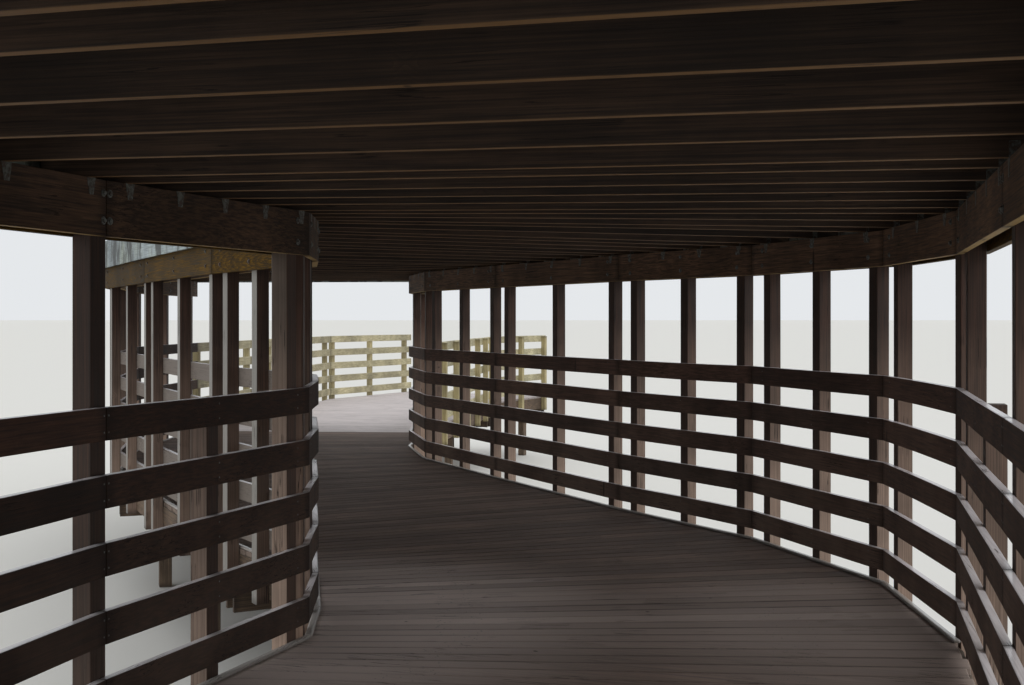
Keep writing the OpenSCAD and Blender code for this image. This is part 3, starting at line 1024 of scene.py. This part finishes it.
# %% [markdown]
# ### Roof
# Joists lie across the beams and fan out in the bends, as in the frame. Boards run over them along each bay.

# %% Lay the roof joists
JOIST_FROM_MITRE = 0.15
JOIST_STEP = 0.62
JOIST_NODES = (("roof_joists_near", 0, 4), ("roof_joists_bend", 4, 7), ("roof_joists_far", 7, ROOFED))


def joist_ends(first, last):
    """End points of the joists of some bays, as bay, left point, right point"""
    found = []
    for bay in range(first, last):
        free = BAY_LENGTH[bay] - 2 * JOIST_FROM_MITRE
        count = math.ceil(free / JOIST_STEP - 1e-6)
        for k in range(count + 1):
            t = (JOIST_FROM_MITRE + free * k / count) / BAY_LENGTH[bay]
            offsets = (-O_JOIST, O_JOIST)
            ends = [at(bay, offset) * (1 - t) + at(bay + 1, offset) * t for offset in offsets]
            found.append((bay, *ends))
    return found


for node, first, last in JOIST_NODES:
    low, high = levels(node)
    joists = []
    for bay, left, right in joist_ends(first, last):
        along = unit_step(left, right)
        half = np.array([-along[1], along[0]]) * BOARD / 2
        joists.append(corners_of(left - half, right - half, right + half, left + half, low, high))
    dress(node, "_sawn", sawn_block, joists, JOIST_FINISH, "roof_timber", bow=0.003)

# %% Lay the roof boards
ROOF_BOARDS = 28
ROOF_GAP = 0.001
low, high = levels("roof_boards")
width = 2 * O_EAVE / ROOF_BOARDS
boards = [
    bay_board(bay, -O_EAVE + k * width + ROOF_GAP, -O_EAVE + (k + 1) * width - ROOF_GAP, low, high)
    for bay in range(ROOFED)
    for k in range(ROOF_BOARDS)
]
dress("roof_boards", "_sawn", plank_block, boards, ROOF_FINISH, "roof_timber")

# %% [markdown]
# ### Fasteners
# Bolts clamp both beams to every full post and the cap beams to the piles. Galvanised ties hold the roof
# joists down, and screws hold rails and deck boards. Each kind is modelled once and copied with its own
# directions, because hundreds of them look alike. Heads and washers are flat outlines that are raised in
# steps, and a tie is two thin plates.

# %% Model the parts of fasteners
def turned(sides, radius, steps):
    """A solid with a round or many-sided outline, raised in steps of a height and a share of the radius"""
    select_none()
    bpy.ops.mesh.primitive_circle_add(vertices=sides, radius=radius, fill_type="NGON")
    bpy.ops.object.mode_set(mode="EDIT")
    bpy.ops.mesh.select_all(action="SELECT")
    for height, share in steps:
        bpy.ops.mesh.extrude_region_move(TRANSFORM_OT_translate={"value": (0, 0, height)})
        bpy.ops.transform.resize(value=(share, share, 1))
    bpy.ops.mesh.select_all(action="SELECT")
    bpy.ops.mesh.normals_make_consistent(inside=False)
    bpy.ops.object.mode_set(mode="OBJECT")
    return bpy.context.object


def plate(size, middle, taper=1.0):
    """A piece of sheet metal; taper is the share of its width that is left at the lower end"""
    select_none()
    bpy.ops.mesh.primitive_cube_add(size=1)
    made = bpy.context.object
    for group in (made.data.edges, made.data.polygons):
        for item in group:
            item.select = False
    for vertex in made.data.vertices:
        vertex.select = vertex.co.y < 0
    bpy.ops.object.mode_set(mode="EDIT")
    bpy.ops.mesh.select_mode(type="VERT")
    bpy.ops.transform.resize(value=(taper, 1, 1))
    bpy.ops.mesh.select_all(action="SELECT")
    bpy.ops.transform.resize(value=size, center_override=(0, 0, 0))
    bpy.ops.transform.translate(value=middle)
    bpy.ops.mesh.bevel(offset=0.0005, segments=1, affect="EDGES")
    bpy.ops.object.mode_set(mode="OBJECT")
    return made


def fastener(name, *parts):
    """One object from the parts of a fastener"""
    select_none()
    for part in parts:
        part.select_set(True)
    bpy.context.view_layer.objects.active = parts[0]
    if len(parts) > 1:
        bpy.ops.object.join()
    parts[0].name = name
    print(name, "has", len(parts[0].data.polygons), "faces")
    return parts[0]


# %% Model the fasteners
TIE_METAL = 0.002
washer = turned(12, 0.017, ((0.0025, 1), (0.0008, 0.93)))
head = turned(6, 0.011, ((0.008, 1), (0.0025, 0.8)))
bolt = fastener("bolt", washer, head)
screw = fastener("screw", turned(8, 0.0046, ((0.0006, 1), (0.0005, 0.75))))
deck_screw = fastener("deck_screw", turned(6, 0.0042, ((0.0006, 0.85),)))
# the plate of a tie lies on the beam and narrows downward, and its upright wing holds the joist
tie_plate = plate((0.06, 0.07, TIE_METAL), (0.01, -0.035, TIE_METAL / 2), taper=0.5)
tie_wing = plate((TIE_METAL, 0.06, 0.04), (0.02, 0.03, -0.018))
tie = fastener("tie", tie_plate, tie_wing)


# %% Mix the finishes of the fasteners
def steel(name, dark, light, zinc_rust, brown_rust):
    """Dipped steel: spangle cells about 5 mm wide, and two films of rust that cover shares of it"""
    material, tree, shader = new_material(name)
    spot = add(tree, "TexCoord", out="Object")
    spangle = add(tree, "TexVoronoi", {"Vector": spot, "Scale": 220.0}, "Color")
    body = add(tree, "Mix", {0: spangle, 6: paint(dark), 7: paint(light)}, 2, **COLOUR)
    film = add(tree, "TexNoise", {"Vector": spot, "Scale": 60.0, "Detail": 4.0}, "Fac")
    for low, high, amount, colour in (
        (0.45, 0.65, zinc_rust, "#a5a69f"), (0.55, 0.35, brown_rust, "#4d3221"),
    ):
        share = add(tree, "MapRange", (film, low, high, 0.0, amount))
        body = add(tree, "Mix", {0: share, 6: body, 7: paint(colour)}, 2, **COLOUR)
    tree.links.new(body, shader.inputs["Base Color"])
    shader.inputs["Metallic"].default_value = 0.5
    dull = add(tree, "MapRange", (film, 0.3, 0.7, 0.45, 0.7))
    tree.links.new(dull, shader.inputs["Roughness"])
    print(name, "has", len(tree.nodes), "nodes")
    return material


# hot-dip galvanised steel under the roof: gone dull, a film of white zinc rust, some brown rust
STEEL_FINISH = steel("galvanised_steel", "#575b5b", "#838786", 0.4, 0.6)
# the ties of the joists: thinner, and dull with the dust and rust of years
TIE_FINISH = steel("dusty_galvanised_steel", "#484a47", "#6b6d69", 0.3, 0.7)
# the same steel in the rain under the eave: brown rust has taken over
RUSTED_FINISH = steel("rusted_steel", "#3d3630", "#5f564c", 0.2, 0.95)


# %% Copy a fastener to its places
def facing(point, level, normal):
    """Place on an upright face: a point, and the directions along the face, up and out of it"""
    out, up = np.array([*normal, 0.0]), np.array([0.0, 0.0, 1.0])
    return np.array([*point, level]), np.array([np.cross(up, out), up, out])


def fix(pattern, places, name, finish=STEEL_FINISH):
    """Copies of a fastener as one piece"""
    unit = points_of(pattern)
    piece = join_copies(pattern, [point + unit @ axes for point, axes in places], name)
    piece.data.materials.append(finish)
    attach(piece, "root")
    print(f"{name}: {len(places)} pieces, {len(piece.data.polygons)} faces")


def columns(bay, distance, side, spread):
    """Where fasteners go in at a post: in its middle, or on both sides of a joint of boards that it holds"""
    if distance > 0:
        return [(bay, distance)]
    if bay == 0:
        return [(bay, spread)]
    return [(bay - 1, side_length(bay - 1, side) - spread), (bay, spread)]


# %% Drive the bolts of beams and cap beams
BOLT_SPREAD = 0.026
BEAM_BOLT_RISES = (0.065, 0.18)
CAP_BOLT_RISES = (0.07, 0.17)
beam_low, beam_top = levels("inner_beam_left")
cap_low = levels("cap_beams")[0]
bolts, outer_bolts = [], []
for side in (-1, 1):
    for post in wall_spots[side]:
        for bay, distance in columns(*post, side, BOLT_SPREAD):
            outward = side * rightward(wall_heading(bay, side))
            for rise in BEAM_BOLT_RISES:
                level = beam_low + rise
                bolts.append(facing(post_point(bay, distance, side * O_IN), level, -outward))
                outer_bolts.append(facing(post_point(bay, distance, side * O_BEAM), level, outward))
for joint in range(BAYS + 1):
    point, heading, reach = bent(joint)
    for side in (-1, 1):
        for way in (-1, 1):
            normal = way * forward(heading)
            foot = point + side * PILE_OUT * rightward(heading) + way * (PILE / 2 + BOARD) * forward(heading)
            outer_bolts += [facing(foot, cap_low + rise, normal) for rise in CAP_BOLT_RISES]
fix(bolt, bolts, "bolts")
fix(bolt, outer_bolts, "outer_bolts", RUSTED_FINISH)

# %% Fit the joist ties
# nails of a tie, each as its reach along the beam and its drop below the beam's top
NAIL_PLACES = ((0.014, 0.012), (0.03, 0.022), (0.021, 0.06))
ties, nails = [], []
for bay, left, right in joist_ends(0, ROOFED):
    for side, outer_end, inner_end in ((-1, left, right), (1, right, left)):
        outward = side * rightward(wall_heading(bay, side))
        along = unit_step(outer_end, inner_end)
        point = outer_end + along * (O_JOIST - O_IN) / abs(along @ outward)
        place, axes = facing(point, beam_top, -outward)
        ties.append((place, axes))
        sideways = axes[0][:2]
        for reach, drop in NAIL_PLACES:
            nails.append(facing(point + reach * sideways - TIE_METAL * outward, beam_top - drop, -outward))
fix(tie, ties, "joist_ties", TIE_FINISH)
fix(deck_screw, nails, "joist_tie_nails")

# %% Drive the screws of the rails
SCREW_SPREAD = 0.02
RAIL_SCREW_DROPS = (0.035, 0.105)
screws = []
for side in (-1, 1):
    for post in wall_spots[side] + short_spots[side] + fence_spots[side]:
        for bay, distance in columns(*post, side, SCREW_SPREAD):
            outward = side * rightward(wall_heading(bay, side))
            point = post_point(bay, distance, side * O_IN)
            screws += [facing(point, top - drop, -outward) for top in rail_tops for drop in RAIL_SCREW_DROPS]
fix(screw, screws, "rail_screws")

# %% Drive the screws of the deck
# two screws at each floor joist, at shares of the board's width that are never quite the same
DECK_SCREW_SHARES = (0.24, 0.76)
SCREW_SLIP = 0.04
screws = []
for board in covered + landing:
    top = board[:, :, 1]
    for k in FLOOR_ROWS:
        share = (k * FLOOR_STEP + O_DECK) / (2 * O_DECK)
        near, far = (top[0, b] + (top[1, b] - top[0, b]) * share for b in (0, 1))
        for part in DECK_SCREW_SHARES:
            slip = chance.uniform(-SCREW_SLIP, SCREW_SLIP)
            screws.append((near + (far - near) * (part + slip), np.eye(3)))
fix(deck_screw, screws, "deck_screws")

# %% [markdown]
# ## Floor and light
# A plain pale floor, an even light from all round, and a sun as wide as a bright patch of cloud, from behind
# the camera on the right. Most of the light inside the bridge comes through its open sides, as on a dull day.

# %% Set the stage
FLOOR_SIZE = 6000
FLOOR_BELOW_PILES = 0.002
select_none()
bpy.ops.mesh.primitive_plane_add(size=FLOOR_SIZE)
ground = bpy.context.object
ground.name = "studio_floor"
ground_paint, ground_tree, ground_shader = new_material("pale_studio_floor")
ground_shader.inputs["Base Color"].default_value = paint("#dcdad4")
ground_shader.inputs["Roughness"].default_value = 0.9
ground.data.materials.append(ground_paint)
ground.location.z = -FLOOR_BELOW_PILES
print("the floor lies", FLOOR_BELOW_PILES, "m below the piles")

# %% Light it
WORLD_STRENGTH = 0.9
SUN_STRENGTH = 1.0
# in degrees: how wide the sun is, and how far it is turned from straight overhead, back and then to the right
SUN_WIDTH = 50
SUN_BACK = 37
SUN_RIGHT = 34
world = bpy.data.worlds.new("even_sky")
bpy.context.scene.world = world
world.use_nodes = True
sky = world.node_tree.nodes["Background"]
sky.inputs["Color"].default_value = paint("#f0f3f6")
sky.inputs["Strength"].default_value = WORLD_STRENGTH
sun_data = bpy.data.lights.new("wide_soft_sun", "SUN")
sun_data.energy = SUN_STRENGTH
sun_data.angle = math.radians(SUN_WIDTH)
sun = bpy.data.objects.new("wide_soft_sun", sun_data)
sun.rotation_euler = (math.radians(SUN_BACK), math.radians(SUN_RIGHT), 0)
bpy.context.scene.collection.objects.link(sun)
bpy.context.scene.view_settings.view_transform = "Standard"
print("light: world", WORLD_STRENGTH, "and sun", SUN_STRENGTH)

# %% Put the blocks away
for pattern in (sawn_block, plank_block, round_block, bolt, screw, deck_screw, tie):
    bpy.data.objects.remove(pattern)
